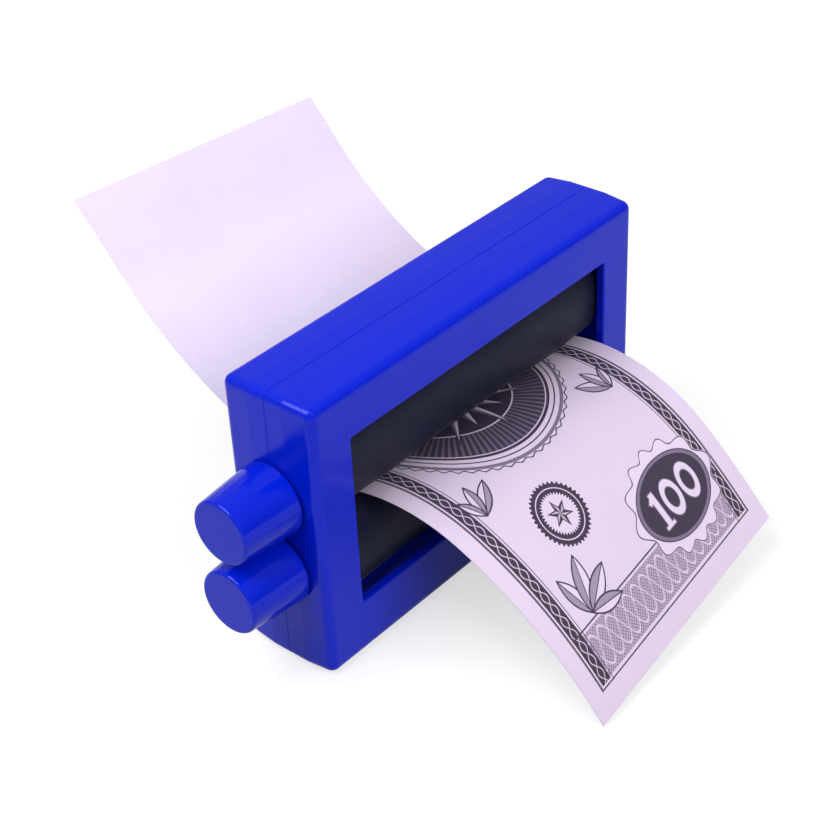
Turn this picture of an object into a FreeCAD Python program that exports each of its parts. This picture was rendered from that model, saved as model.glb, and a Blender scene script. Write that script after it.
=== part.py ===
import FreeCAD, Part
import math
import os

# A trick note printer: a box with a window front and back, and two cloth-wound rollers
# turned by two knobs. A blank sheet goes in at the back and a printed note comes out in front.
# Millimetres. X runs along the box with the knobs at -X, the note leaves towards -Y, Z is up.
# The origin is the middle of the underside, on the parting plane between the two shells.

# Both sheets of paper are this wide; the windows, the rollers and the box are sized to take them
PAPER_WIDTH = 77.5

# Box
END_FRAME = 11.3          # from each end of the windows to the end of the box
BOX_HEIGHT = 68.1
BOX_DEPTH = 24.6
WALL = 2.0
LAND = 4.8                # straight strip each side of the parting plane, which the box stands on
FACE_INSET = 0.5          # draft: how far each face edge lies inside the outline at the parting plane
CORNER_RADIUS = 2.0       # outline corners, seen from the front
FACE_EDGE_RADIUS = 2.1    # rounding where a face meets the four sides
INNER_RADIUS = 1.0
PARTING_BEVEL = 0.15

# Windows, one in each shell
WINDOW_ROOM = 9.9         # how much longer the windows are than the paper is wide
WINDOW_HEIGHT = 42.2
WINDOW_RAISE = 1.0        # window centre above the box centre
WINDOW_RADIUS = 0.6
WINDOW_BEVEL = 0.3

# Lip on the back shell, and the rebate that takes it in the front shell
LIP_THICKNESS = 0.85
LIP_HEIGHT = 1.2
LIP_CLEARANCE = 0.12

# Screws and the pillars they pull together
SCREW_END_INSET = 6.5     # screw axis in from the ends of the box
SCREW_EDGE_INSET = 7.3    # screw axis in from the top and the underside
PILLAR_RADIUS = 3.8
SCREW_RADIUS = 1.25
SCREW_GRIP = 4.0          # pillar height between the screw head and the parting plane
SCREW_THREAD_LENGTH = 7.5
SCREW_POINT = 1.2
SCREW_HEAD_RADIUS = 2.3
SCREW_HEAD_HEIGHT = 1.6
SCREW_CLEARANCE = 0.3
DRIVE_SLOT_LENGTH = 3.0
DRIVE_SLOT_WIDTH = 0.7
DRIVE_SLOT_DEPTH = 0.9

# Rollers, each a tube with a plug in both ends
ROLLER_SPACING = 17.75    # between the two axes
ROLLER_OVERLAP = 1.5      # roller beyond each end of the windows
TUBE_RADIUS = 6.5
TUBE_WALL = 1.5
PLUG_DEPTH = 9.0
PLUG_CLEARANCE = 0.02
FLANGE_THICKNESS = 1.2
END_PLAY = 0.3
JOURNAL_RADIUS = 3.0
JOURNAL_CLEARANCE = 0.05
STEM_RADIUS = 2.6
STEM_FLAT = 0.6           # depth of the flat that turns the knob

# Webs that carry the journals
WEB_THICKNESS = 2.4
WEB_MARGIN = 5.5          # web beyond the roller axes
WALL_HOLE_CLEARANCE = 0.3

# Cloth wound on the rollers, held in a groove of each tube by a strip
CLOTH_INSET = 0.6         # each end of the cloth to the end of its roller
CLOTH_RADIUS = 8.65
CLOTH_THICKNESS = 0.35
CLOTH_CLEARANCE = 0.02
WINDING_POINT_COUNT = 24  # points that the last turn of cloth is drawn through
GROOVE_WIDTH = 1.4
STRIP_INSET = 5.2         # each end of the strip to the end of its roller
STRIP_CLEARANCE = 0.05

# Knobs
KNOB_LENGTH = 14.9
KNOB_GAP = 0.6            # between the knob and the side of the box
KNOB_BASE_RADIUS = 8.55
KNOB_END_RADIUS = 7.35
KNOB_EDGE_RADIUS = 0.7
KNOB_WALL = 1.6
KNOB_END_WALL = 2.0
HUB_RADIUS = 4.4
HUB_RECESS = 0.8
BORE_CLEARANCE = 0.03
BORE_BOTTOM_GAP = 0.5
SEAM_GAP = 0.01           # keeps faces that would coincide just apart
RIB_COUNT = 4
RIB_THICKNESS = 1.2

# Paper sheets. Each long edge is a path of tangent arcs from the nip, as (length, radius),
# where a positive radius curls the sheet upwards.
SHEET_THICKNESS = 0.2
SHEET_CLEARANCE = 0.2     # sheet centre to the cloth it leaves along
NIP_GAP = 0.5             # sheet ends each side of the nip
SHEET_SECTION_COUNT = 14
SECTION_CROWDING = 1.4    # above 1, the sections lie closer together near the nip
NOTE_LENGTH = 75.4        # nip to free end, halfway across
NOTE_SKEW = 3.7           # the left edge is this much longer, and the right edge this much shorter
NOTE_SIDE_GAP = 1.7       # right edge of the note to the end of the windows
BLANK_LENGTH = 91.6
BLANK_SKEW = 0.7
BLANK_SIDE_GAP = 3.1

# Worked out from the sizes above
WINDOW_LENGTH = PAPER_WIDTH + WINDOW_ROOM
BOX_LENGTH = WINDOW_LENGTH + 2 * END_FRAME
ROLLER_LENGTH = WINDOW_LENGTH + 2 * ROLLER_OVERLAP
CLOTH_LENGTH = ROLLER_LENGTH - 2 * CLOTH_INSET
MID_HEIGHT = BOX_HEIGHT / 2
HALF_DEPTH = BOX_DEPTH / 2
WINDOW_CENTRE = MID_HEIGHT + WINDOW_RAISE
UPPER_AXIS = MID_HEIGHT + ROLLER_SPACING / 2
LOWER_AXIS = MID_HEIGHT - ROLLER_SPACING / 2
WEB_INNER_FACE = ROLLER_LENGTH / 2 + FLANGE_THICKNESS + END_PLAY
WEB_OUTER_FACE = WEB_INNER_FACE + WEB_THICKNESS
KNOB_BASE = -(BOX_LENGTH / 2 + KNOB_GAP)
KNOB_END = KNOB_BASE - KNOB_LENGTH
STEM_END = KNOB_END + KNOB_END_WALL + BORE_BOTTOM_GAP
BORE_RADIUS = TUBE_RADIUS - TUBE_WALL
STRIP_LENGTH = ROLLER_LENGTH - 2 * STRIP_INSET
NOTE_RIGHT_SIDE = WINDOW_LENGTH / 2 - NOTE_SIDE_GAP
BLANK_RIGHT_SIDE = WINDOW_LENGTH / 2 - BLANK_SIDE_GAP

# Long edges of the sheets
NOTE_LEFT = {
    "x": NOTE_RIGHT_SIDE - PAPER_WIDTH, "yaw": -2.5, "lift": 13.9,
    "length": NOTE_LENGTH + NOTE_SKEW, "arcs": ((30.4, -42.5), (60.0, -98.8)),
}
NOTE_RIGHT = {
    "x": NOTE_RIGHT_SIDE, "yaw": 3.6, "lift": 16.4,
    "length": NOTE_LENGTH - NOTE_SKEW, "arcs": ((45.0, -46.2), (60.0, -195.0)),
}
BLANK_LEFT = {
    "x": BLANK_RIGHT_SIDE - PAPER_WIDTH, "yaw": -2.1, "lift": 2.7,
    "length": BLANK_LENGTH + BLANK_SKEW, "arcs": ((74.9, 92.6), (30.0, -178.0)),
}
BLANK_RIGHT = {
    "x": BLANK_RIGHT_SIDE, "yaw": -2.1, "lift": 0.2,
    "length": BLANK_LENGTH - BLANK_SKEW, "arcs": ((79.3, 92.6), (30.0, -178.0)),
}

X_AXIS = FreeCAD.Vector(1, 0, 0)
Y_AXIS = FreeCAD.Vector(0, 1, 0)


def point(x, y, z):
    return FreeCAD.Vector(x, y, z)


def rod(x_from, x_to, axis_height, radius):
    """A round bar along X at one of the roller heights."""
    return Part.makeCylinder(radius, x_to - x_from, point(x_from, 0, axis_height), X_AXIS)


def pillar(x, z, y_from, y_to, radius):
    """A round bar along Y."""
    return Part.makeCylinder(radius, y_to - y_from, point(x, y_from, z), Y_AXIS)


def outline(length, height, radius, y, centre=MID_HEIGHT):
    """A rectangle with rounded corners, standing in the plane at y."""
    half_x, half_z = length / 2, height / 2
    turn = radius * (1 - math.sqrt(0.5))
    edges = []
    corners = ((1, 1), (-1, 1), (-1, -1), (1, -1))
    for index, (sx, sz) in enumerate(corners):
        flat_z = point(sx * half_x, y, centre + sz * (half_z - radius))
        middle = point(sx * (half_x - turn), y, centre + sz * (half_z - turn))
        flat_x = point(sx * (half_x - radius), y, centre + sz * half_z)
        start, end = (flat_z, flat_x) if index % 2 == 0 else (flat_x, flat_z)
        edges.append(Part.Arc(start, middle, end).toShape())
    joined = []
    for index, arc in enumerate(edges):
        following = edges[(index + 1) % 4]
        joined.append(arc)
        joined.append(Part.LineSegment(arc.Vertexes[-1].Point, following.Vertexes[0].Point).toShape())
    return Part.Wire(joined)


def drafted_block(length, height, radius, depth):
    """A block from the parting plane to y = depth: straight over the land, then drafted."""
    straight = Part.Face(outline(length, height, radius, 0)).extrude(point(0, LAND, 0))
    share = (depth - LAND) / (HALF_DEPTH - LAND)
    inset = 2 * FACE_INSET * share
    wide = outline(length, height, radius, LAND)
    narrow = outline(length - inset, height - inset, radius, depth)
    return straight.fuse(Part.makeLoft([wide, narrow], True, True))


def edges_in_plane(shape, y, half_length):
    """The edges lying in the plane at y, within half_length of the middle."""
    found = []
    for edge in shape.Edges:
        box = edge.BoundBox
        flat = abs(box.YMin - y) < 1e-4 and abs(box.YMax - y) < 1e-4
        if flat and max(abs(box.XMin), abs(box.XMax)) < half_length + 0.01:
            found.append(edge)
    return found


def tray():
    """One half of the box, open at the parting plane, with its window. It lies at positive y."""
    block = drafted_block(BOX_LENGTH, BOX_HEIGHT, CORNER_RADIUS, HALF_DEPTH)
    block = block.makeFillet(FACE_EDGE_RADIUS, edges_in_plane(block, HALF_DEPTH, BOX_LENGTH / 2))
    block = block.makeChamfer(PARTING_BEVEL, edges_in_plane(block, 0, BOX_LENGTH / 2))
    cavity = drafted_block(BOX_LENGTH - 2 * WALL, BOX_HEIGHT - 2 * WALL, INNER_RADIUS, HALF_DEPTH - WALL)
    window = Part.Face(outline(WINDOW_LENGTH, WINDOW_HEIGHT, WINDOW_RADIUS, 0, WINDOW_CENTRE))
    half = block.cut(cavity).cut(window.extrude(point(0, BOX_DEPTH, 0))).removeSplitter()
    return half.makeChamfer(WINDOW_BEVEL, edges_in_plane(half, HALF_DEPTH, WINDOW_LENGTH / 2))


def screw_places():
    for sx in (-1, 1):
        for z in (SCREW_EDGE_INSET, BOX_HEIGHT - SCREW_EDGE_INSET):
            yield sx * (BOX_LENGTH / 2 - SCREW_END_INSET), z


def lip_ring(thickness, y_from, y_to):
    """A ring that starts at the inside of the wall and is as thick as asked, towards the outside."""
    inner_length, inner_height = BOX_LENGTH - 2 * WALL, BOX_HEIGHT - 2 * WALL
    grown = (inner_length + 2 * thickness, inner_height + 2 * thickness)
    outer = Part.Face(outline(*grown, INNER_RADIUS + thickness, y_from))
    inner = Part.Face(outline(inner_length, inner_height, INNER_RADIUS, y_from))
    return outer.cut(inner).extrude(point(0, y_to - y_from, 0))


def web(side):
    """The plate that carries one journal of each roller, from the parting plane to the face."""
    low = LOWER_AXIS - WEB_MARGIN
    height = ROLLER_SPACING + 2 * WEB_MARGIN
    start = WEB_INNER_FACE if side > 0 else -WEB_OUTER_FACE
    return Part.makeBox(WEB_THICKNESS, HALF_DEPTH - WALL / 2, height, point(start, 0, low))


def bearing_cuts():
    """What the rollers' journals and stems take out of both shells."""
    cuts = []
    for axis in (UPPER_AXIS, LOWER_AXIS):
        cuts.append(rod(-WEB_OUTER_FACE, WEB_OUTER_FACE, axis, JOURNAL_RADIUS + JOURNAL_CLEARANCE))
        cuts.append(rod(-BOX_LENGTH, -WEB_OUTER_FACE, axis, JOURNAL_RADIUS + WALL_HOLE_CLEARANCE))
    return cuts


def back_shell():
    """The half that faces +Y: it has the lip, and the screws go in from its outside."""
    inside_face = HALF_DEPTH - WALL / 2
    shell = tray().fuse([lip_ring(LIP_THICKNESS, -LIP_HEIGHT, WALL), web(-1), web(1)])
    shell = shell.fuse([pillar(x, z, 0, inside_face, PILLAR_RADIUS) for x, z in screw_places()])
    cuts = bearing_cuts()
    for x, z in screw_places():
        cuts.append(pillar(x, z, -WALL, BOX_DEPTH, SCREW_RADIUS + SCREW_CLEARANCE))
        cuts.append(pillar(x, z, SCREW_GRIP, BOX_DEPTH, SCREW_HEAD_RADIUS + SCREW_CLEARANCE))
    return shell.cut(cuts).removeSplitter()


def front_shell():
    """The half that faces -Y: it has the rebate for the lip and the pillars that the screws bite."""
    inside_face = HALF_DEPTH - WALL / 2
    shell = tray().fuse([web(-1), web(1)])
    shell = shell.fuse([pillar(x, z, 0, inside_face, PILLAR_RADIUS) for x, z in screw_places()])
    cuts = bearing_cuts()
    cuts.append(lip_ring(LIP_THICKNESS + LIP_CLEARANCE, -WALL, LIP_HEIGHT + LIP_CLEARANCE))
    for x, z in screw_places():
        cuts.append(pillar(x, z, -WALL, SCREW_THREAD_LENGTH + SCREW_CLEARANCE, SCREW_RADIUS))
    return shell.cut(cuts).removeSplitter().mirror(point(0, 0, 0), Y_AXIS)


def revolved(profile, axis_height):
    """Turns a profile of (x, radius) points about one roller axis."""
    points = [point(x, 0, axis_height + radius) for x, radius in profile]
    face = Part.Face(Part.makePolygon(points + points[:1]))
    return face.revolve(point(0, 0, axis_height), X_AXIS, 360)


def screw(x, z):
    """A self-tapping screw with a cross recess, its head seated on the pillar."""
    tip = -SCREW_THREAD_LENGTH
    head_top = SCREW_GRIP + SCREW_HEAD_HEIGHT
    crown = SCREW_HEAD_HEIGHT / 3
    profile = (
        (tip, 0), (tip + SCREW_POINT, SCREW_RADIUS), (SCREW_GRIP, SCREW_RADIUS),
        (SCREW_GRIP, SCREW_HEAD_RADIUS), (head_top - crown, SCREW_HEAD_RADIUS),
        (head_top, SCREW_HEAD_RADIUS - 2 * crown), (head_top, 0),
    )
    points = [point(x + radius, y, z) for y, radius in profile]
    body = Part.Face(Part.makePolygon(points + points[:1])).revolve(point(x, 0, z), Y_AXIS, 360)
    low = head_top - DRIVE_SLOT_DEPTH
    for across, up in ((DRIVE_SLOT_LENGTH, DRIVE_SLOT_WIDTH), (DRIVE_SLOT_WIDTH, DRIVE_SLOT_LENGTH)):
        corner = point(x - across / 2, low, z - up / 2)
        body = body.cut(Part.makeBox(across, 2 * DRIVE_SLOT_DEPTH, up, corner))
    return body


def groove(axis_height, width, r_from, r_to, length):
    """A bar along X through the back of one roller's tube."""
    corner = point(-length / 2, r_from, axis_height - width / 2)
    return Part.makeBox(length, r_to - r_from, width, corner)


def roller_tube(axis_height):
    half = ROLLER_LENGTH / 2
    tube = rod(-half, half, axis_height, TUBE_RADIUS).cut(rod(-half, half, axis_height, BORE_RADIUS))
    return tube.cut(groove(axis_height, GROOVE_WIDTH, BORE_RADIUS / 2, 2 * TUBE_RADIUS, STRIP_LENGTH))


def cloth_strip(axis_height):
    """The strip that wedges the end of the cloth in the groove of the tube."""
    strip = groove(
        axis_height, GROOVE_WIDTH - 2 * STRIP_CLEARANCE, BORE_RADIUS, TUBE_RADIUS,
        STRIP_LENGTH - 2 * STRIP_CLEARANCE,
    )
    return strip.common(rod(-STRIP_LENGTH, STRIP_LENGTH, axis_height, TUBE_RADIUS))


def drive_plug(axis_height):
    """The plug on the knob side: a journal in the web, then a stem with a flat for the knob."""
    end = -ROLLER_LENGTH / 2
    fit = BORE_RADIUS - PLUG_CLEARANCE
    profile = (
        (end + PLUG_DEPTH, 0), (end + PLUG_DEPTH, fit), (end, fit), (end, TUBE_RADIUS),
        (end - FLANGE_THICKNESS, TUBE_RADIUS), (end - FLANGE_THICKNESS, JOURNAL_RADIUS),
        (KNOB_BASE + HUB_RECESS, JOURNAL_RADIUS), (KNOB_BASE + HUB_RECESS, STEM_RADIUS),
        (STEM_END, STEM_RADIUS), (STEM_END, 0),
    )
    return revolved(profile, axis_height).cut(stem_flat(axis_height, 0))


def stem_flat(axis_height, clearance):
    """What the flat takes off the stem, as seen from the stem; the bore keeps the same flat."""
    height = STEM_RADIUS - STEM_FLAT + clearance
    length = KNOB_BASE + HUB_RECESS - KNOB_END
    corner = point(KNOB_END, -HUB_RADIUS, axis_height + height)
    return Part.makeBox(length, 2 * HUB_RADIUS, HUB_RADIUS, corner)


def end_plug(axis_height):
    """The plug at the far end: a journal that stops inside the box."""
    end = ROLLER_LENGTH / 2
    fit = BORE_RADIUS - PLUG_CLEARANCE
    tip = WEB_OUTER_FACE + END_PLAY
    profile = (
        (end - PLUG_DEPTH, 0), (end - PLUG_DEPTH, fit), (end, fit), (end, TUBE_RADIUS),
        (end + FLANGE_THICKNESS, TUBE_RADIUS), (end + FLANGE_THICKNESS, JOURNAL_RADIUS),
        (tip, JOURNAL_RADIUS), (tip, 0),
    )
    return revolved(profile, axis_height)


def knob(axis_height):
    """A tapered knob, hollow towards the box, with a ribbed hub that grips the flat of the stem."""
    round_start = KNOB_END + KNOB_EDGE_RADIUS
    slope = (KNOB_BASE_RADIUS - KNOB_END_RADIUS) / KNOB_LENGTH
    outside = revolved((
        (KNOB_BASE, 0), (KNOB_BASE, KNOB_BASE_RADIUS), (KNOB_END, KNOB_END_RADIUS), (KNOB_END, 0),
    ), axis_height)
    rim = [edge for edge in outside.Edges if edge.BoundBox.XMax < round_start]
    outside = outside.makeFillet(KNOB_EDGE_RADIUS, rim)
    floor = KNOB_END + KNOB_END_WALL
    floor_radius = KNOB_END_RADIUS + slope * KNOB_END_WALL - KNOB_WALL
    hollow = revolved((
        (KNOB_BASE, 0), (KNOB_BASE, KNOB_BASE_RADIUS - KNOB_WALL), (floor, floor_radius), (floor, 0),
    ), axis_height)
    inner = [rod(floor, KNOB_BASE - SEAM_GAP, axis_height, HUB_RADIUS)]
    for index in range(RIB_COUNT):
        rib = Part.makeBox(
            KNOB_BASE - 2 * HUB_RECESS - floor, RIB_THICKNESS, KNOB_BASE_RADIUS,
            point(floor, -RIB_THICKNESS / 2, axis_height),
        )
        rib.rotate(point(0, 0, axis_height), X_AXIS, 45 + 360 * index / RIB_COUNT)
        inner.append(rib)
    hub = inner[0].fuse(inner[1:]).common(hollow)
    bore = rod(STEM_END - BORE_BOTTOM_GAP, KNOB_BASE, axis_height, STEM_RADIUS + BORE_CLEARANCE)
    bore = bore.cut(stem_flat(axis_height, BORE_CLEARANCE))
    journal = rod(KNOB_BASE, KNOB_BASE + HUB_RECESS, axis_height, JOURNAL_RADIUS)
    return outside.cut(hollow).fuse(hub).cut(bore).cut(journal).removeSplitter()


def cloth_winding(axis_height, step_side):
    """The cloth on one roller. Its last turn starts and ends at the nip, one thickness apart."""
    spiral = []
    for index in range(WINDING_POINT_COUNT + 1):
        angle = 2 * math.pi * index / WINDING_POINT_COUNT
        radius = CLOTH_RADIUS - CLOTH_THICKNESS * index / WINDING_POINT_COUNT
        spiral.append(point(
            0, -radius * math.sin(angle), axis_height - step_side * radius * math.cos(angle),
        ))
    curve = Part.BSplineCurve()
    curve.interpolate(spiral)
    step = Part.LineSegment(spiral[-1], spiral[0])
    section = Part.Face(Part.Wire([curve.toShape(), step.toShape()]))
    body = section.extrude(point(CLOTH_LENGTH, 0, 0))
    body.translate(point(-CLOTH_LENGTH / 2, 0, 0))
    return body.cut(rod(-CLOTH_LENGTH, CLOTH_LENGTH, axis_height, TUBE_RADIUS + CLOTH_CLEARANCE))


def along_arcs(distance, lift, arcs):
    """Where a path of tangent arcs has got to, as (forward, up, direction in radians)."""
    forward, up, heading = 0.0, 0.0, math.radians(lift)
    for length, radius in arcs:
        run = min(distance, length)
        turned = heading + run / radius
        forward += radius * (math.sin(turned) - math.sin(heading))
        up += radius * (math.cos(heading) - math.cos(turned))
        heading = turned
        distance -= run
        if distance <= 0:
            break
    return forward, up, heading


def edge_path(edge, way, leave_radius, share):
    """A point on one long edge of a sheet, and the sheet's direction there.

    way is -1 to the front and +1 to the back. leave_radius is the radius of the arc that the sheet
    follows round the upper roller before it lifts off, or 0 where it leaves the nip straight.
    """
    first = leave_radius * math.radians(edge["lift"])
    distance = NIP_GAP + share * (edge["length"] - NIP_GAP)
    if distance < first:
        forward, up, heading = along_arcs(distance, 0, ((first, leave_radius),))
    else:
        start_forward, start_up, heading = 0.0, 0.0, 0.0
        if first:
            start_forward, start_up, heading = along_arcs(first, 0, ((first, leave_radius),))
        forward, up, heading = along_arcs(distance - first, edge["lift"], edge["arcs"])
        forward, up = forward + start_forward, up + start_up
    yaw = math.radians(edge["yaw"])
    x = edge["x"] - forward * math.sin(yaw)
    return point(x, way * forward * math.cos(yaw), MID_HEIGHT + up), heading


def sheet(left, right, way, leave_radius):
    """A sheet of paper from the nip to its free end, through cross sections between its two edges."""
    sections = []
    for index in range(SHEET_SECTION_COUNT + 1):
        share = (index / SHEET_SECTION_COUNT) ** SECTION_CROWDING
        a, heading_a = edge_path(left, way, leave_radius, share)
        b, heading_b = edge_path(right, way, leave_radius, share)
        heading = (heading_a + heading_b) / 2
        normal = point(0, -way * math.sin(heading), math.cos(heading)) * (SHEET_THICKNESS / 2)
        sections.append(Part.makePolygon([a - normal, b - normal, b + normal, a + normal, a - normal]))
    return Part.makeLoft(sections, True, False)


def build_parts():
    parts = {
        "front_shell": front_shell(),
        "back_shell": back_shell(),
        "shell_screws": Part.makeCompound([screw(x, z) for x, z in screw_places()]),
        "printed_note": sheet(NOTE_LEFT, NOTE_RIGHT, -1, CLOTH_RADIUS + SHEET_CLEARANCE),
        "blank_sheet": sheet(BLANK_LEFT, BLANK_RIGHT, 1, 0),
    }
    for place, axis, step_side in (("upper", UPPER_AXIS, 1), ("lower", LOWER_AXIS, -1)):
        parts[place + "_roller"] = roller_tube(axis)
        parts[place + "_drive_plug"] = drive_plug(axis)
        parts[place + "_end_plug"] = end_plug(axis)
        parts[place + "_cloth"] = cloth_winding(axis, step_side)
        parts[place + "_cloth_strip"] = cloth_strip(axis)
        parts[place + "_knob"] = knob(axis)
    return parts


os.makedirs("parts", exist_ok=True)
for name, shape in build_parts().items():
    state = "valid" if shape.isValid() else "INVALID"
    print(name, len(shape.Solids), "solids", round(shape.Volume, 1), "mm3", state)
    shape.exportStep("parts/" + name + ".step")
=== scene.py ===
"""Looks of the trick note printer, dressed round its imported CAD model.

Everything is in metres in the CAD model's frame: +X runs along the box away from the knobs, the
printed note leaves towards -Y, the blank sheet lies towards +Y, and Z is up. Sheet and cloth
sizes are written in millimetres, as in the CAD source.
"""

import math

import bpy
from mathutils import Matrix, Vector


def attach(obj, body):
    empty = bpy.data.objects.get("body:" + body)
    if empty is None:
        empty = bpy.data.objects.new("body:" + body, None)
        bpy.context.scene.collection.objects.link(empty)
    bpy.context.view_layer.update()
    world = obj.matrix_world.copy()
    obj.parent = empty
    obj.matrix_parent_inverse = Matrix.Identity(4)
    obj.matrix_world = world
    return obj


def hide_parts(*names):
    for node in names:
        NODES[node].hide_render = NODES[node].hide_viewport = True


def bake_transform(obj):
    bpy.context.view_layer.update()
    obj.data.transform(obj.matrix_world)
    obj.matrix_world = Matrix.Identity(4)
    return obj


MM = 0.001

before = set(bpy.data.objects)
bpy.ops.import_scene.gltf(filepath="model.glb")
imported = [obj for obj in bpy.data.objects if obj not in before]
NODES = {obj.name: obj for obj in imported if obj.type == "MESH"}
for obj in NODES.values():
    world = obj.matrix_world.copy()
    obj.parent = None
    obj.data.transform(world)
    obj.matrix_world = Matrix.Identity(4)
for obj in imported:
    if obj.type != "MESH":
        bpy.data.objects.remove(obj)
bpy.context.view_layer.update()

# Camera, fitted to the edges of the box in the photograph
CAMERA_PLACE = (-0.25483, -0.21814, 0.25950)
CAMERA_AZIMUTH = -48.333
CAMERA_ELEVATION = 34.074
CAMERA_ROLL = -2.991
FOCAL_PIXELS = 1795.96
PHOTO_HEIGHT = 836.0      # the longer side of the photograph, in pixels
SENSOR_WIDTH = 36.0

# Rollers and the cloth wound on them, in millimetres
MID_HEIGHT = 34.05
ROLLER_SPACING = 17.75
TUBE_RADIUS = 6.5
CLOTH_LENGTH = 89.2
CLOTH_RADIUS = 8.65
CLOTH_PITCH = 0.35        # from one turn of cloth to the next
CLOTH_THICKNESS = 0.3
CLOTH_CLEAR = 0.06        # air kept round the loose outer turn
TUBE_AIR = 0.05           # air between the tube and the innermost turn
CLOTH_EASE = 0.1          # the wound rolls are this much thinner, so that moving paper clears them
CLOTH_SECTIONS_PER_TURN = 72
CLOTH_COLUMNS = 8
CLOTH_EDGE_SWAY = 0.25    # how far the turns lie out of line at the ends of the roll
LOOSE_FRONT = 9.9         # how far the loose outer turn stands out to the front and back
LOOSE_FAR = 22.9          # and how far above or below the nip it reaches
LOOSE_START = 20.0        # degrees round the roll from the nip to where it comes loose
LOOSE_RISE = 34.0         # degrees over which it parts from the roll
LOOSE_ROUNDING = (2.6, 2.3)    # exponents of its outline, front to back and up; 2 is an ellipse
LOOSE_SEARCH = 0.01       # how finely that outline is looked for
LOOSE_STEPS = 120
LOOSE_COLUMNS = 30
RIPPLE = 0.16
SECOND_WAVE = 0.6         # height of the second ripple against the first

# Paper, in millimetres. Both sheets have the size of a banknote.
PAPER_LENGTH = 155.0
PAPER_WIDTH = 77.5
PAPER_THICKNESS = 0.16
SHEET_CLEARANCE = 0.2
NIP_GAP = 0.5
NIP_ROWS = (NIP_GAP, 1.2, 1.9)    # distances of the note's first rows from the nip
NOTE_TRAVEL = 79.1        # how much of the note is still wound up
STORE_START = 2.6         # the wound-up stretch is stored between these distances from the nip
STORE_END = 3.4
STORE_ROWS = 40
NOTE_ROWS = 60
BLANK_ROWS = 90
NOTE_LENGTH = 75.4
NOTE_SKEW = 3.7
BLANK_LENGTH = 91.6
BLANK_SKEW = 0.7
COLUMNS = 24
SHARP_ANGLE = 40          # degrees from which an edge of a sheet shows as sharp

NOTE_LEFT = {
    "x": -35.5, "yaw": -2.5, "lift": 13.9, "length": NOTE_LENGTH + NOTE_SKEW,
    "arcs": ((30.4, -42.5), (60.0, -98.8)),
}
NOTE_RIGHT = {
    "x": 42.0, "yaw": 3.6, "lift": 16.4, "length": NOTE_LENGTH - NOTE_SKEW,
    "arcs": ((45.0, -46.2), (60.0, -195.0)),
}
BLANK_LEFT = {
    "x": -36.9, "yaw": -2.1, "lift": 2.7, "length": BLANK_LENGTH + BLANK_SKEW,
    "arcs": ((74.9, 92.6), (30.0, -178.0)),
}
BLANK_RIGHT = {
    "x": 40.6, "yaw": -2.1, "lift": 0.2, "length": BLANK_LENGTH - BLANK_SKEW,
    "arcs": ((79.3, 92.6), (30.0, -178.0)),
}


def darker(colour, share):
    return tuple(share * value for value in colour[:3]) + (1.0,)


def rgb(red, green, blue):
    """A linear colour from the 0 to 255 values that a picture shows."""
    def linear(value):
        share = value / 255
        return share / 12.92 if share <= 0.04045 else ((share + 0.055) / 1.055) ** 2.4
    return (linear(red), linear(green), linear(blue), 1.0)


BLUE = rgb(0, 30, 200)
KNOB_BLUE = rgb(0, 30, 196)
BLACK_CLOTH = rgb(22, 26, 50)
BLACK_PLASTIC = rgb(30, 30, 34)
ZINC = rgb(196, 198, 202)
NOTE_PAPER = rgb(212, 196, 219)
BLANK_PAPER = rgb(232, 219, 246)
DARK_INK = rgb(62, 52, 72)
GREY_INK = rgb(118, 106, 128)
MAUVE_INK = rgb(142, 108, 146)
WHITE = (1.0, 1.0, 1.0, 1.0)

# Surfaces: shares of a gloss or sheen, and bump heights in metres
PAPER_ROUGHNESS = 0.72
PAPER_SPECULAR = 0.35
WEAVE_PITCH = 0.00042
FAINT_BUMP = 0.00002
FINE_BUMP = 0.00003
CLOTH_BUMP = 0.00006

# Floor and light, in metres and watts
FLOOR_HALF = 6.0
FLOOR_DROP = 0.0001       # keeps the floor just clear of the underside
FLOOR_TONE = (0.36, 0.36, 0.363, 1.0)
FLOOR_GLOW = 0.6          # under the part
FLOOR_GLOW_RISE = 0.9     # per metre away from it
FLOOR_GLOW_MOST = 0.92
GLOSSY_SHARE = 0.5        # how much of the floor's glow shows in glossy surfaces
SKY_GLOW = 0.24
SKY_GLOW_RISE = 0.4
SKY_BEHIND = 0.3
SKY_ABOVE = 0.7
LAMP_TARGET = (0, 0, 0.03)


# Shader arithmetic

class Signal:
    """A number that varies over a surface. Arithmetic on it adds math nodes to its material."""

    def __init__(self, tree, socket):
        self.tree = tree
        self.socket = socket

    def math(self, operation, *others, clamp=False):
        node = self.tree.nodes.new("ShaderNodeMath")
        node.operation = operation
        node.use_clamp = clamp
        for socket, value in zip(node.inputs, (self, *others)):
            feed(self.tree, socket, value)
        return Signal(self.tree, node.outputs[0])

    def __add__(self, other):
        return self.math("ADD", other)

    def __sub__(self, other):
        return self.math("SUBTRACT", other)

    def __rsub__(self, other):
        return self.math("MULTIPLY_ADD", -1.0, other)

    def __mul__(self, other):
        return self.math("MULTIPLY", other)

    def __neg__(self):
        return self.math("MULTIPLY", -1.0)

    def __abs__(self):
        return self.math("ABSOLUTE")


def feed(tree, socket, value):
    if isinstance(value, Signal):
        tree.links.new(value.socket, socket)
    else:
        socket.default_value = value


def sine(signal, period, shift=0.0):
    return (signal * (2 * math.pi / period) + shift).math("SINE")


def smaller(first, second):
    return first.math("MINIMUM", second)


def larger(first, second):
    return first.math("MAXIMUM", second)


def largest(signals):
    most, *others = signals
    for signal in others:
        most = larger(most, signal)
    return most


def distance_to(x, y):
    return (x * x + y * y).math("SQRT")


def cover(depth, softness=0.08):
    """1 where depth is below zero and 0 above, with an edge as soft as ink on paper."""
    return depth.math("MULTIPLY_ADD", -1.0 / softness, 0.5, clamp=True)


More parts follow.
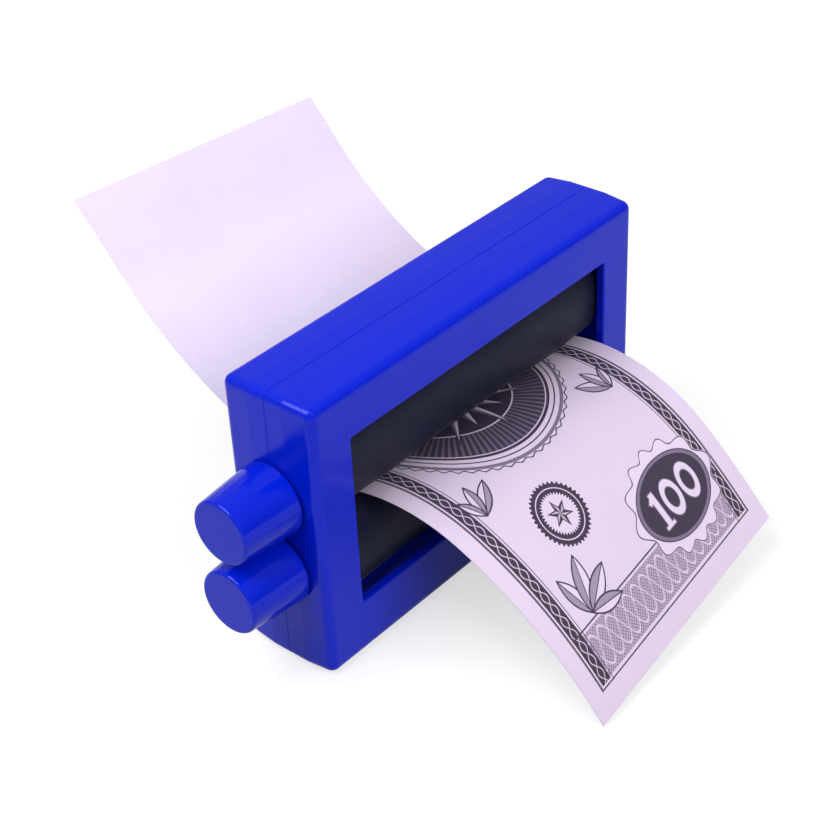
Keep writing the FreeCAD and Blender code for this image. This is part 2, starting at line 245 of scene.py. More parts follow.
def stroke(offset, width):
    """A line of that width along which offset is zero."""
    return cover(abs(offset) - width / 2)


def turned(x, y, degrees):
    angle = math.radians(degrees)
    return (
        x * math.cos(angle) + y * math.sin(angle),
        y * math.cos(angle) - x * math.sin(angle),
    )


def noise(tree, place, scale, detail=3.0, roughness=0.55):
    node = tree.nodes.new("ShaderNodeTexNoise")
    node.inputs["Scale"].default_value = scale
    node.inputs["Detail"].default_value = detail
    node.inputs["Roughness"].default_value = roughness
    tree.links.new(place, node.inputs["Vector"])
    return Signal(tree, node.outputs["Fac"])


def stretched(tree, place, scale, turn=(0.0, 0.0, 0.0)):
    node = tree.nodes.new("ShaderNodeMapping")
    node.inputs["Scale"].default_value = scale
    node.inputs["Rotation"].default_value = turn
    tree.links.new(place, node.inputs["Vector"])
    return node.outputs["Vector"]


def blended(tree, factor, first, second):
    """A colour socket between two colours, each a colour or a socket."""
    node = tree.nodes.new("ShaderNodeMix")
    node.data_type = "RGBA"
    feed(tree, node.inputs["Factor"], factor)
    for socket, colour in zip((node.inputs[6], node.inputs[7]), (first, second)):
        if isinstance(colour, bpy.types.NodeSocket):
            tree.links.new(colour, socket)
        else:
            socket.default_value = colour
    return node.outputs[2]


def bump(tree, height, distance, strength=1.0):
    node = tree.nodes.new("ShaderNodeBump")
    node.inputs["Distance"].default_value = distance
    node.inputs["Strength"].default_value = strength
    feed(tree, node.inputs["Height"], height)
    return node.outputs["Normal"]


def new_material(name, **values):
    """A material with one plain shader, as (material, tree, shader, object coordinates)."""
    material = bpy.data.materials.new(name)
    material.use_nodes = True
    tree = material.node_tree
    shader = tree.nodes["Principled BSDF"]
    for socket, value in values.items():
        shader.inputs[socket.replace("_", " ")].default_value = value
    place = tree.nodes.new("ShaderNodeTexCoord").outputs["Object"]
    return material, tree, shader, place


def sheet_place(tree, map_name):
    """The two coordinates of a UV map, as signals."""
    uv = tree.nodes.new("ShaderNodeUVMap")
    uv.uv_map = map_name
    split = tree.nodes.new("ShaderNodeSeparateXYZ")
    tree.links.new(uv.outputs["UV"], split.inputs["Vector"])
    return Signal(tree, split.outputs["X"]), Signal(tree, split.outputs["Y"])


# Materials

def moulded_plastic(name, colour, roughness, grain):
    """Glossy moulded plastic: faint flow marks, orange peel and a few hairline scratches."""
    material, tree, shader, place = new_material(name, Specular_IOR_Level=0.25)
    flow = noise(tree, stretched(tree, place, (1.0, 2.0, 0.6)), 42.0, 2.0)
    tone = blended(tree, flow, colour, darker(colour, 0.9))
    tree.links.new(tone, shader.inputs["Base Color"])
    peel = noise(tree, place, grain, 2.0)
    hairs = []
    for turn in ((0.4, 0.2, 0.9), (1.3, -0.5, 2.2)):
        hair = noise(tree, stretched(tree, place, (9000.0, 90.0, 90.0), turn), 1.0, 1.0)
        hairs.append(cover(0.79 - hair, 0.05))
    scratches = largest(hairs)
    smears = noise(tree, place, 75.0, 3.0)
    gloss = smears * 0.1 + scratches * 0.08 + (roughness - 0.05)
    feed(tree, shader.inputs["Roughness"], gloss)
    normal = bump(tree, peel - scratches * 0.1, FAINT_BUMP)
    tree.links.new(normal, shader.inputs["Normal"])
    return material


def satin_plastic(name, colour):
    material, tree, shader, place = new_material(name, Specular_IOR_Level=0.4)
    mottle = noise(tree, place, 160.0, 4.0)
    tone = blended(tree, mottle, colour, darker(colour, 0.6))
    tree.links.new(tone, shader.inputs["Base Color"])
    feed(tree, shader.inputs["Roughness"], mottle * 0.2 + 0.38)
    normal = bump(tree, noise(tree, place, 2600.0, 2.0), FINE_BUMP)
    tree.links.new(normal, shader.inputs["Normal"])
    return material


def plated_steel(name):
    material, tree, shader, place = new_material(name, Metallic=1.0)
    patches = noise(tree, place, 700.0, 4.0)
    tone = blended(tree, patches, ZINC, darker(ZINC, 0.7))
    tree.links.new(tone, shader.inputs["Base Color"])
    feed(tree, shader.inputs["Roughness"], patches * 0.25 + 0.22)
    fine = noise(tree, stretched(tree, place, (1.0, 12.0, 1.0)), 2200.0, 2.0)
    tree.links.new(bump(tree, fine, FAINT_BUMP), shader.inputs["Normal"])
    return material


def coated_cloth(name):
    """Black coated cloth: a fine plain weave under a satin coat."""
    material, tree, shader, place = new_material(
        name, Specular_IOR_Level=0.22, Sheen_Weight=0.05, Sheen_Roughness=0.4
    )
    along, across = sheet_place(tree, "cloth")
    threads = sine(along, WEAVE_PITCH) * sine(across, WEAVE_PITCH)
    mottle = noise(tree, place, 220.0, 4.0)
    dark = (mottle * 0.7 + threads * 0.12 + 0.1).math("ADD", 0.0, clamp=True)
    tone = blended(tree, dark, BLACK_CLOTH, darker(BLACK_CLOTH, 0.62))
    tree.links.new(tone, shader.inputs["Base Color"])
    feed(tree, shader.inputs["Roughness"], mottle * 0.16 + 0.4)
    streaks = noise(tree, stretched(tree, place, (6.0, 60.0, 60.0)), 3.0, 2.0)
    normal = bump(tree, threads * 0.25 + streaks, CLOTH_BUMP, 0.6)
    tree.links.new(normal, shader.inputs["Normal"])
    return material


def paper_base(tree, place, colour):
    """Paper tone with faint fibres and clouds, as (colour socket, fibres)."""
    fibres = noise(tree, stretched(tree, place, (1.0, 2.6, 1.0)), 1500.0, 4.0, 0.65)
    clouds = noise(tree, place, 60.0, 3.0)
    tone = (fibres * 0.5 + clouds * 0.5).math("MULTIPLY_ADD", 1.6, -0.45, clamp=True)
    return blended(tree, tone, colour, darker(colour, 0.9)), fibres


def plain_paper(name, colour):
    material, tree, shader, place = new_material(
        name, Roughness=PAPER_ROUGHNESS, Specular_IOR_Level=PAPER_SPECULAR
    )
    tone, fibres = paper_base(tree, place, colour)
    tree.links.new(tone, shader.inputs["Base Color"])
    tree.links.new(bump(tree, fibres, FINE_BUMP, 0.6), shader.inputs["Normal"])
    return material


def printed_paper(name):
    material, tree, shader, place = new_material(name, Specular_IOR_Level=PAPER_SPECULAR)
    colour, fibres = paper_base(tree, place, NOTE_PAPER)
    layers = note_print(tree)
    for coverage, ink in layers:
        colour = blended(tree, coverage, colour, ink)
    depth = largest([coverage for coverage, ink in layers if ink is DARK_INK])
    tree.links.new(colour, shader.inputs["Base Color"])
    feed(tree, shader.inputs["Roughness"], PAPER_ROUGHNESS - depth * 0.16)
    normal = bump(tree, fibres + depth * 0.6, FINE_BUMP, 0.6)
    tree.links.new(normal, shader.inputs["Normal"])
    return material


# The print on the note: a made-up design. All its sizes are in millimetres on the flat sheet.
MARGIN = 4.8
BAND_MIDDLE = 11.0
BAND_HALF = 5.0
STRIP_MIDDLE = 2.5
STRIP_HALF = 1.6
MEDALLION_RADIUS = 24.5
LATTICE_PITCH = 1.9
CORD_PERIOD = 6.4
CORD_SWAY = 0.85
SEAL_RADIUS = 6.1
OVAL_RADIUS = 13.6
DIGIT_HEIGHT = 8.6
ONE_WEIGHT = 1.6
ZERO_WIDTH = 6.2
ZERO_WEIGHT = 1.7


def star(x, y, points, tip, notch):
    """How far outside a star a place is, and which half of a ray it is on, from -1 to 1."""
    half = math.pi / points
    edge = (tip * math.cos(half) - notch, tip * math.sin(half))
    run = math.hypot(*edge)
    normal = (edge[1] / run, -edge[0] / run)
    radius = distance_to(x, y)
    angle = y.math("ARCTAN2", x).math("FLOORED_MODULO", 2 * half) - half
    side = angle.math("SIGN")
    along = radius * abs(angle).math("COSINE")
    across = radius * abs(angle).math("SINE")
    return along * normal[0] + across * normal[1] - notch * normal[0], side


def leaf(x, y, root_x, root_y, degrees, length, width):
    """How far outside a leaf a place is, and its distance from the midrib."""
    along, across = turned(x - root_x, y - root_y, degrees)
    share = along * (2 / length) - 1
    rim = (share * share).math("MULTIPLY_ADD", -width / 2, width / 2)
    return abs(across) - rim, across


def numeral_zero(x, y, centre, height, width, weight):
    ring = distance_to((x - centre) * (height / width), y)
    return abs(ring - (height - weight) / 2) - weight / 2


def numeral_one(x, y, centre, height, weight):
    stem = larger(abs(x - centre) - weight / 2, abs(y) - height / 2)
    flag_x, flag_y = turned(x - (centre - weight * 0.45), y - height * 0.36, 40)
    flag = larger(abs(flag_x) - weight * 0.8, abs(flag_y) - weight * 0.28)
    foot = larger(abs(x - centre) - weight * 1.1, abs(y + height * 0.46) - weight * 0.22)
    return smaller(smaller(stem, flag), foot)


def note_print(tree):
    """The ink layers of the note from the bottom up, as (coverage, ink)."""
    u, v = sheet_place(tree, "print")
    from_middle = u * -PAPER_LENGTH + PAPER_LENGTH / 2
    side = from_middle.math("SIGN")
    rise = PAPER_LENGTH / 2 - abs(from_middle)
    wide = (v * PAPER_WIDTH - PAPER_WIDTH / 2) * side
    edge = PAPER_WIDTH / 2 - abs(wide) - MARGIN
    inset = smaller(rise - MARGIN, edge)
    layers = []

    # Faint waves over the whole field
    field = cover(1.2 - inset)
    waves = stroke(sine(wide + sine(rise, 26.0) * 1.4, 1.5), 0.5) * 0.16
    layers.append((waves * field, MAUVE_INK))

    # Lattice band along the short edge
    band = larger(abs(rise - BAND_MIDDLE) - BAND_HALF, 3.9 - edge)
    in_band = cover(band)
    layers.append((in_band * 0.5, MAUVE_INK))
    lattice = larger(
        stroke(sine(wide + rise, LATTICE_PITCH), 0.75),
        stroke(sine(wide - rise, LATTICE_PITCH), 0.75),
    )
    layers.append((lattice * in_band * 0.6, DARK_INK))
    ropes = largest([
        stroke(rise - BAND_MIDDLE + sine(wide, 11.0, shift) * 3.9, 0.55)
        for shift in (0.0, 2.1, 4.2)
    ])
    layers.append((ropes * in_band * 0.85, NOTE_PAPER))

    # Dark strips along the long edges, each with a twisted cord of light lines
    strip = abs(edge - STRIP_MIDDLE) - STRIP_HALF
    in_strip = cover(strip)
    cord = larger(
        stroke(edge - STRIP_MIDDLE + sine(rise, CORD_PERIOD) * CORD_SWAY, 0.3),
        stroke(edge - STRIP_MIDDLE - sine(rise, CORD_PERIOD) * CORD_SWAY, 0.3),
    )
    layers.append((in_strip * cover(MARGIN + 0.9 - rise), DARK_INK))
    layers.append((cord * in_strip * cover(MARGIN + 0.9 - rise) * 0.8, NOTE_PAPER))
    sides = stroke(larger(edge - 4.7, -edge), 0.22) * cover(MARGIN - rise)
    rules = larger(stroke(inset - 0.3, 0.32), sides)
    rules = larger(rules, stroke(rise - BAND_MIDDLE - BAND_HALF - 0.7, 0.35) * field)
    layers.append((rules, DARK_INK))

    layers += medallion(rise, wide)
    layers += seal(rise, wide)
    layers += value_oval(rise, wide)
    layers += leaf_sprays(rise, wide)
    return layers


def medallion(rise, wide):
    """The round medallion in the middle of the note, with a compass star."""
    x = PAPER_LENGTH / 2 - rise
    radius = distance_to(x, wide)
    angle = wide.math("ARCTAN2", x)
    disc = cover(radius - MEDALLION_RADIUS)
    rim = (angle * 56).math("SINE")
    layers = [(cover(radius - MEDALLION_RADIUS - 4.2 - rim * 0.3), NOTE_PAPER)]
    layers.append((stroke(radius - MEDALLION_RADIUS - 3.9 - rim * 0.3, 0.35), DARK_INK))
    layers.append((stroke(radius - MEDALLION_RADIUS - 2.9, 0.9), GREY_INK))
    layers.append((stroke(radius - MEDALLION_RADIUS - 1.2, 0.35), DARK_INK))
    layers.append((disc, DARK_INK))
    rays = cover((angle * 90).math("SINE") * 0.5 + 0.1, 0.5) * cover(15.5 - radius)
    layers.append((rays * cover(radius - MEDALLION_RADIUS + 0.9) * 0.7, GREY_INK))
    layers.append((stroke(radius - 15.6, 0.4), NOTE_PAPER))
    layers.append((stroke(radius - MEDALLION_RADIUS + 0.9, 0.3), NOTE_PAPER))
    for points, tip, notch, degrees in ((8, 14.2, 5.0, 22.5), (8, 19.0, 4.2, 0.0)):
        star_x, star_y = turned(x, wide, degrees)
        outside, half = star(star_x, star_y, points, tip, notch)
        ray = cover(outside)
        layers.append((ray, GREY_INK))
        layers.append((ray * cover(half), NOTE_PAPER))
        layers.append((stroke(outside, 0.28), DARK_INK))
    layers.append((cover(radius - 3.0), DARK_INK))
    layers.append((cover(radius - 2.3), NOTE_PAPER))
    layers.append((cover(radius - 1.1), DARK_INK))
    return layers


def seal(rise, wide):
    """A toothed ring with a small star, beside the medallion."""
    x = rise - 36.5
    y = wide + 12.5
    radius = distance_to(x, y)
    teeth = (y.math("ARCTAN2", x) * 40).math("SINE") * 0.3
    outside, half = star(x, y, 6, 3.6, 1.5)
    return [
        (cover(abs(radius - SEAL_RADIUS) - 1.35 - teeth), DARK_INK),
        (stroke(radius - SEAL_RADIUS, 0.25), NOTE_PAPER),
        (cover(outside), DARK_INK),
        (cover(outside + 0.3) * cover(half) * 0.7, NOTE_PAPER),
    ]


def value_oval(rise, wide):
    """The value 100 in an oval, over the band on the other side."""
    x = wide - 17.0
    y = rise - 20.5
    oval = distance_to(x, y * 1.55)
    petals = (y.math("ARCTAN2", x) * 12).math("COSINE")
    flower = distance_to(x, y * 1.35) - 15.6 - petals * 1.1
    one = numeral_one(x, y, -6.3, DIGIT_HEIGHT, ONE_WEIGHT)
    zeros = smaller(
        numeral_zero(x, y, -0.9, DIGIT_HEIGHT, ZERO_WIDTH, ZERO_WEIGHT),
        numeral_zero(x, y, 6.2, DIGIT_HEIGHT, ZERO_WIDTH, ZERO_WEIGHT),
    )
    digits = smaller(one, zeros)
    return [
        (cover(flower), NOTE_PAPER),
        (stroke(flower + 0.3, 0.35), DARK_INK),
        (cover(oval - OVAL_RADIUS), GREY_INK),
        (stroke(oval - OVAL_RADIUS, 0.35), DARK_INK),
        (cover(oval - 12.4), DARK_INK),
        (cover(digits - 0.25), GREY_INK),
        (cover(digits), NOTE_PAPER),
    ]


def leaf_sprays(rise, wide):
    """Sprays of leaves in the corner beside the seal and on both sides of the medallion."""
    layers = []
    corner = ((-15, 10.5), (25, 12.5), (62, 12.0), (100, 10.5))
    for degrees, length in corner:
        layers += drawn_leaf(rise, wide, 17.5, -23.5, degrees, length)
    flanks = abs(wide)
    for degrees, length in ((-48, 9.5), (-14, 8.5), (24, 7.0)):
        layers += drawn_leaf(rise, flanks, 47.5, 27.0, degrees, length)
    return layers


def drawn_leaf(rise, wide, root_rise, root_wide, degrees, length):
    outside, midrib = leaf(rise, wide, root_rise, root_wide, degrees, length, length * 0.34)
    return [
        (cover(outside), NOTE_PAPER),
        (cover(outside) * cover(midrib) * 0.75, GREY_INK),
        (stroke(outside, 0.4), DARK_INK),
        (stroke(midrib, 0.25) * cover(outside), DARK_INK),
    ]


# Sheets of paper

def along_arcs(distance, lift, arcs):
    """Where a path of tangent arcs has got to, as (forward, up, direction in radians)."""
    forward, up, heading = 0.0, 0.0, math.radians(lift)
    for length, radius in arcs:
        run = min(distance, length)
        turned_to = heading + run / radius
        forward += radius * (math.sin(turned_to) - math.sin(heading))
        up += radius * (math.cos(heading) - math.cos(turned_to))
        heading = turned_to
        distance -= run
        if distance <= 0:
            break
    return forward, up, heading


def edge_point(edge, way, leave_radius, distance):
    """A point on a long edge of a sheet that far from the nip, and the direction there."""
    first = leave_radius * math.radians(edge["lift"])
    if distance < first:
        forward, up, heading = along_arcs(distance, 0, ((first, leave_radius),))
    else:
        start = (0.0, 0.0, 0.0)
        if first:
            start = along_arcs(first, 0, ((first, leave_radius),))
        forward, up, heading = along_arcs(distance - first, edge["lift"], edge["arcs"])
        forward, up = forward + start[0], up + start[1]
    yaw = math.radians(edge["yaw"])
    x = edge["x"] - forward * math.sin(yaw)
    return Vector((x, way * forward * math.cos(yaw), MID_HEIGHT + up)), heading


def sheet_row(left, right, way, leave_radius, distances):
    """A straight row across a sheet, as its two ends and the direction up out of the paper."""
    a, heading_a = edge_point(left, way, leave_radius, distances[0])
    b, heading_b = edge_point(right, way, leave_radius, distances[1])
    heading = (heading_a + heading_b) / 2
    return a, b, Vector((0, -way * math.sin(heading), math.cos(heading)))


def stored_share(y):
    """The share of the note's travel that a point in the store makes, as blend() weighs it."""
    share = min(max((-y - STORE_START) / (STORE_END - STORE_START), 0.0), 1.0)
    return share * share * (3 - 2 * share)


def note_rows():
    """Rows of the note from the nip to its free end, as (row, distances from the free end)."""
    lengths = (NOTE_LEFT["length"], NOTE_RIGHT["length"])
    leave = CLOTH_RADIUS + SHEET_CLEARANCE
    store = []
    for index in range(STORE_ROWS + 1):
        # The smooth step run backwards, so that the rows lie evenly once they are drawn out
        share = 0.5 - math.sin(math.asin(1 - 2 * index / STORE_ROWS) / 3)
        store.append(STORE_START + share * (STORE_END - STORE_START))
    distances = [(distance, distance) for distance in NIP_ROWS]
    for forward in store:
        pair = []
        for edge in (NOTE_LEFT, NOTE_RIGHT):
            first = leave * math.radians(edge["lift"])
            reached = leave * math.sin(math.radians(edge["lift"]))
            pair.append(first + (forward - reached) / math.cos(math.radians(edge["lift"])))
        distances.append(tuple(pair))
    last = distances[-1]
    for index in range(1, NOTE_ROWS + 1):
        share = index / NOTE_ROWS
        distances.append(tuple(a + (b - a) * share for a, b in zip(last, lengths)))
    rows = []
    for pair in distances:
        row = sheet_row(NOTE_LEFT, NOTE_RIGHT, -1, leave, pair)
        ends = []
        for point, distance, length in zip(row[:2], pair, lengths):
            hidden = (1 - stored_share(point.y)) * NOTE_TRAVEL
            ends.append(min(length - distance + hidden, PAPER_LENGTH))
        rows.append((row, ends))
    return rows


def blank_rows():
    """Rows of the blank from the nip to its free end, as (row, distances from the free end)."""
    lengths = (BLANK_LEFT["length"], BLANK_RIGHT["length"])
    rows = []
    for index in range(BLANK_ROWS + 1):
        share = index / BLANK_ROWS
        pair = tuple(NIP_GAP + (length - NIP_GAP) * share for length in lengths)
        row = sheet_row(BLANK_LEFT, BLANK_RIGHT, 1, 0, pair)
        rows.append((row, [length - distance for length, distance in zip(lengths, pair)]))
    return rows


def placed(name, data):
    """A new object in the scene."""
    thing = bpy.data.objects.new(name, data)
    bpy.context.scene.collection.objects.link(thing)
    return thing


def soft_mesh(name, points, faces, map_name, uvs, materials):
    """A mesh whose first half of points is one face of a sheet and whose second is the other."""
    mesh = bpy.data.meshes.new(name)
    mesh.from_pydata(points, [], faces)
    layer = mesh.uv_layers.new(name=map_name)
    for loop in mesh.loops:
        layer.data[loop.index].uv = uvs[loop.vertex_index % len(uvs)]
    for material in materials:
        mesh.materials.append(material)
    return mesh


def smoothed(mesh, flipped):
    if flipped:
        mesh.flip_normals()
    mesh.shade_smooth()
    mesh.set_sharp_from_angle(angle=math.radians(SHARP_ANGLE))


def paper_sheet(name, rows, printed, plain):
    """A thin sheet through its rows, printed on the upper face and plain below."""
    top, bottom, uvs = [], [], []
    for (a, b, up), ends in rows:
        for column in range(COLUMNS + 1):
            share = column / COLUMNS
            middle = a.lerp(b, share)
            top.append((middle + up * (PAPER_THICKNESS / 2)) * MM)
            bottom.append((middle - up * (PAPER_THICKNESS / 2)) * MM)
            from_end = ends[0] + (ends[1] - ends[0]) * share
            uvs.append((from_end / PAPER_LENGTH, share))
    count = len(top)
    wide = COLUMNS + 1
    faces, slots = [], []
    for row in range(len(rows) - 1):
        for column in range(COLUMNS):
            corner = row * wide + column
            quad = (corner, corner + 1, corner + wide + 1, corner + wide)
            faces.append(quad)
            slots.append(0)
            faces.append(tuple(count + index for index in reversed(quad)))
            slots.append(1)
    rim = list(range(wide))
    rim += [row * wide + COLUMNS for row in range(1, len(rows))]
    rim += [(len(rows) - 1) * wide + column for column in reversed(range(COLUMNS))]
    rim += [row * wide for row in reversed(range(1, len(rows) - 1))]
    for first, second in zip(rim, rim[1:] + rim[:1]):
        faces.append((second, first, first + count, second + count))
        slots.append(1)
    mesh = soft_mesh(name, top + bottom, faces, "print", uvs, (printed, plain))
    mesh.polygons.foreach_set("material_index", slots)
    smoothed(mesh, rows[-1][0][0].y < 0)
    return placed(name, mesh)


# Cloth

def cloth_mesh(name, outer, inner, uvs, columns, nip_side, material):
    """A strip of cloth with an outer and an inner face, from rows of points along it."""
    count = len(outer)
    wide = columns + 1
    sections = count // wide - 1
    faces = []
    for row in range(sections):
        for column in range(columns):
            corner = row * wide + column
            quad = (corner, corner + 1, corner + wide + 1, corner + wide)
            faces.append(quad)
            faces.append(tuple(count + index for index in reversed(quad)))
        for column in (0, columns):
            edge = (row * wide + column, (row + 1) * wide + column)
            side = (edge[0], edge[1], edge[1] + count, edge[0] + count)
            faces.append(side if column == 0 else side[::-1])
    for row in (0, sections):
        for column in range(columns):
            corner = row * wide + column
            end = (corner, corner + 1, corner + 1 + count, corner + count)
            faces.append(end[::-1] if row == 0 else end)
    mesh = soft_mesh(name, outer + inner, faces, "cloth", uvs, (material,))
    smoothed(mesh, nip_side < 0)
    return placed(name, mesh)


def wound_cloth(name, axis_height, nip_side, material):
    """The cloth as one strip wound in a spiral, and the strip's length in millimetres.

    nip_side is -1 where the nip is below the axis.
    """
    outside = CLOTH_RADIUS - CLOTH_EASE
    turns = (outside - TUBE_RADIUS - TUBE_AIR) / CLOTH_PITCH
    sections = int(turns * CLOTH_SECTIONS_PER_TURN)
    outer, inner, uvs = [], [], []
    length = 0.0
    for index in range(sections + 1):
        turn = index / CLOTH_SECTIONS_PER_TURN
        angle = 2 * math.pi * turn
        radius = outside - CLOTH_PITCH * turn
        if index:
            length += 2 * math.pi * (radius - CLOTH_THICKNESS / 2) / CLOTH_SECTIONS_PER_TURN
        sway = CLOTH_EDGE_SWAY * (math.sin(1.3 * angle / 6) + math.sin(0.37 * angle)) / 2
        spoke = Vector((0, -math.sin(angle), nip_side * math.cos(angle)))
        for column in range(CLOTH_COLUMNS + 1):
            across = (column / CLOTH_COLUMNS - 0.5) * CLOTH_LENGTH
            axis = Vector((across + sway, 0, axis_height))
            outer.append((axis + spoke * radius) * MM)
            inner.append((axis + spoke * (radius - CLOTH_THICKNESS)) * MM)
            uvs.append((length * MM, across * MM))
    return cloth_mesh(name, outer, inner, uvs, CLOTH_COLUMNS, nip_side, material), length


def loose_turn(name, axis_height, nip_side, material):
    """The outermost turn of the cloth, which lies loose round its roll, and its length."""
    reach = (LOOSE_FAR - CLOTH_CLEAR) / 2
    tight = CLOTH_RADIUS + CLOTH_CLEAR + CLOTH_THICKNESS
    outer, inner, uvs = [], [], []
    length, last = 0.0, None
    for index in range(LOOSE_STEPS + 1):
        degrees = LOOSE_START + (360 - 2 * LOOSE_START) * index / LOOSE_STEPS
        angle = math.radians(degrees)
        out, away = math.sin(angle), -math.cos(angle)
        parting = min(degrees - LOOSE_START, 360 - LOOSE_START - degrees) / LOOSE_RISE
        parting = min(parting, 1.0)
        parting *= parting * (3 - 2 * parting)
        radius = tight
        while oval_depth(radius * out, radius * away + ROLLER_SPACING / 2 - reach, reach) < 0:
            radius += LOOSE_SEARCH
        radius = tight + (radius - tight) * parting
        here = Vector((0, radius * out, radius * away))
        length += (here - last).length if last else 0.0
        last = here
        spoke = Vector((0, -out, -nip_side * away))
        for column in range(LOOSE_COLUMNS + 1):
            across = (column / LOOSE_COLUMNS - 0.5) * CLOTH_LENGTH
            wave = math.sin(across * 0.11 + angle * 1.7)
            wave += SECOND_WAVE * math.sin(across * 0.23 - angle * 2.3)
            ripple = radius - RIPPLE * parting * (1 + SECOND_WAVE + wave)
            axis = Vector((across, 0, axis_height))
            outer.append((axis + spoke * ripple) * MM)
            inner.append((axis + spoke * (ripple - CLOTH_THICKNESS)) * MM)
            uvs.append((length * MM, across * MM))
    return cloth_mesh(name, outer, inner, uvs, LOOSE_COLUMNS, nip_side, material), length


def oval_depth(across, along, reach):
    """Below zero inside the oval that the loose turn follows."""
    round_across, round_along = LOOSE_ROUNDING
    return abs(across / LOOSE_FRONT) ** round_across + abs(along / reach) ** round_along - 1


def dress_cad_nodes(materials):
    for node, material in materials.items():
        mesh = NODES[node].data
        mesh.materials.clear()
        mesh.materials.append(material)


# Camera, floor and light

def add_camera():
    azimuth = math.radians(CAMERA_AZIMUTH)
    elevation = math.radians(CAMERA_ELEVATION)
    back = Vector((
        math.sin(azimuth) * math.cos(elevation),
        -math.cos(azimuth) * math.cos(elevation),
        math.sin(elevation),
    ))
    level = Vector((0, 0, 1)).cross(back).normalized()
    upright = back.cross(level)
    roll = math.radians(CAMERA_ROLL)
    right = level * math.cos(roll) + upright * math.sin(roll)
    up = upright * math.cos(roll) - level * math.sin(roll)
    data = bpy.data.cameras.new("camera")
    data.sensor_width = SENSOR_WIDTH
    data.lens = FOCAL_PIXELS * SENSOR_WIDTH / PHOTO_HEIGHT
    data.clip_start = 0.01
    data.clip_end = 20
    camera = placed("camera", data)
    turn = Matrix((right, up, back)).transposed().to_4x4()
    camera.matrix_world = Matrix.Translation(CAMERA_PLACE) @ turn
    bpy.context.scene.camera = camera


def seen_directly(tree):
    """1 for what the camera sees, also through a clear surface, and less in a glossy one."""
    path = tree.nodes.new("ShaderNodeLightPath")
    rays = ("Is Camera Ray", "Is Glossy Ray", "Is Transmission Ray")
    camera, glossy, clear = (Signal(tree, path.outputs[ray]) for ray in rays)
    return (camera + glossy * GLOSSY_SHARE + clear).math("MINIMUM", 1.0)


def add_floor():
    half = FLOOR_HALF
    corners = [(-half, -half, 0), (half, -half, 0), (half, half, 0), (-half, half, 0)]
    mesh = bpy.data.meshes.new("floor")
    mesh.from_pydata(corners, [], [(0, 1, 2, 3)])
    floor = placed("floor", mesh)
    floor.location.z = -FLOOR_DROP
    material = bpy.data.materials.new("floor_white")
    material.use_nodes = True
    tree = material.node_tree
    shader = tree.nodes["Principled BSDF"]
    shader.inputs["Base Color"].default_value = FLOOR_TONE
    shader.inputs["Roughness"].default_value = 0.9
    shader.inputs["Specular IOR Level"].default_value = 0.0
    shader.inputs["Emission Color"].default_value = WHITE
    place = tree.nodes.new("ShaderNodeTexCoord").outputs["Object"]
    split = tree.nodes.new("ShaderNodeSeparateXYZ")
    tree.links.new(place, split.inputs["Vector"])
    away = distance_to(Signal(tree, split.outputs["X"]), Signal(tree, split.outputs["Y"]))
    glow = away.math("MULTIPLY_ADD", FLOOR_GLOW_RISE, FLOOR_GLOW).math("MINIMUM", FLOOR_GLOW_MOST)
    feed(tree, shader.inputs["Emission Strength"], glow * seen_directly(tree))
    mesh.materials.append(material)


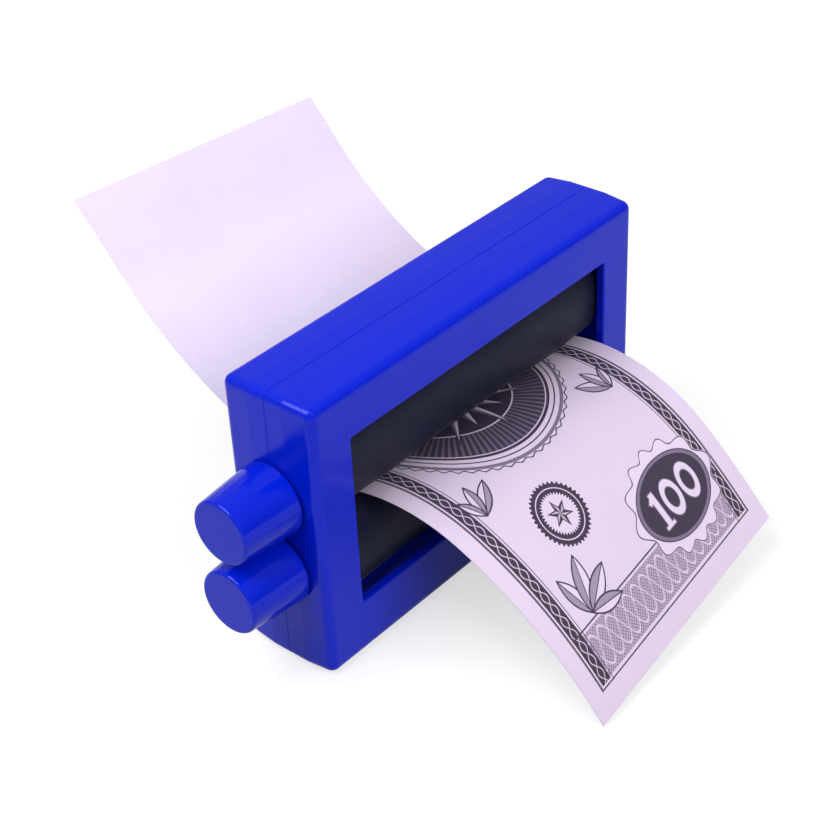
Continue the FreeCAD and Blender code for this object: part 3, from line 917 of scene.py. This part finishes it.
def add_world():
    """White to the camera. The light itself is brighter from above and a little from behind."""
    world = bpy.data.worlds.new("studio")
    world.use_nodes = True
    tree = world.node_tree
    background = tree.nodes["Background"]
    direction = tree.nodes.new("ShaderNodeTexCoord").outputs["Generated"]
    split = tree.nodes.new("ShaderNodeSeparateXYZ")
    tree.links.new(direction, split.inputs["Vector"])
    y, z = Signal(tree, split.outputs["Y"]), Signal(tree, split.outputs["Z"])
    height = y * SKY_BEHIND + z * SKY_ABOVE
    glow = height.math("MULTIPLY_ADD", SKY_GLOW_RISE, SKY_GLOW, clamp=True)
    path = tree.nodes.new("ShaderNodeLightPath")
    camera_ray = Signal(tree, path.outputs["Is Camera Ray"])
    strength = glow * (1 - camera_ray) + camera_ray
    background.inputs["Color"].default_value = WHITE
    feed(tree, background.inputs["Strength"], strength)
    bpy.context.scene.world = world


def add_lamp(name, place, size, watts, glossy=True):
    data = bpy.data.lights.new(name, "AREA")
    data.shape = "RECTANGLE"
    data.size, data.size_y = size
    data.energy = watts
    lamp = placed(name, data)
    lamp.location = place
    aim = Vector(LAMP_TARGET) - Vector(place)
    lamp.rotation_euler = aim.to_track_quat("-Z", "Y").to_euler()
    lamp.visible_glossy = glossy


# The scene
blue = moulded_plastic("blue_moulded", BLUE, 0.18, 700.0)
knob_blue = moulded_plastic("knob_moulded", KNOB_BLUE, 0.13, 900.0)
black = satin_plastic("black_satin", BLACK_PLASTIC)
cloth = coated_cloth("black_cloth")
note_paper = plain_paper("note_back", NOTE_PAPER)
blank_paper = plain_paper("blank_paper", BLANK_PAPER)

dress_cad_nodes({
    "front_shell": blue,
    "back_shell": blue,
    "shell_screws": plated_steel("zinc"),
    "upper_knob": knob_blue,
    "lower_knob": knob_blue,
    **{place + part: black for place in ("upper_", "lower_")
       for part in ("roller", "drive_plug", "end_plug", "cloth_strip")},
})

for place, nip_side in (("upper", -1), ("lower", 1)):
    axis_height = MID_HEIGHT - nip_side * ROLLER_SPACING / 2
    roll, cut_length = wound_cloth(place + "_cloth_roll", axis_height, nip_side, cloth)
    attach(roll, place + "_spool")
    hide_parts(place + "_cloth")
    cut_length * MM
    loose, cut_length = loose_turn(place + "_cloth_loose_turn", axis_height, nip_side, cloth)
    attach(loose, "housing")
    cut_length * MM

note = paper_sheet("play_note", note_rows(), printed_paper("note_print"), note_paper)
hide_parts("printed_note")
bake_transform(note)

blank = paper_sheet("blank_paper_sheet", blank_rows(), blank_paper, blank_paper)
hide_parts("blank_sheet")
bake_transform(blank)

add_camera()
add_floor()
add_world()
add_lamp("key", (-0.42, 0.12, 0.68), (0.5, 0.5), 4.8)
add_lamp("fill", (-0.08, -0.72, 0.47), (0.6, 0.5), 4.5, glossy=False)

bpy.context.scene.view_settings.view_transform = "Standard"
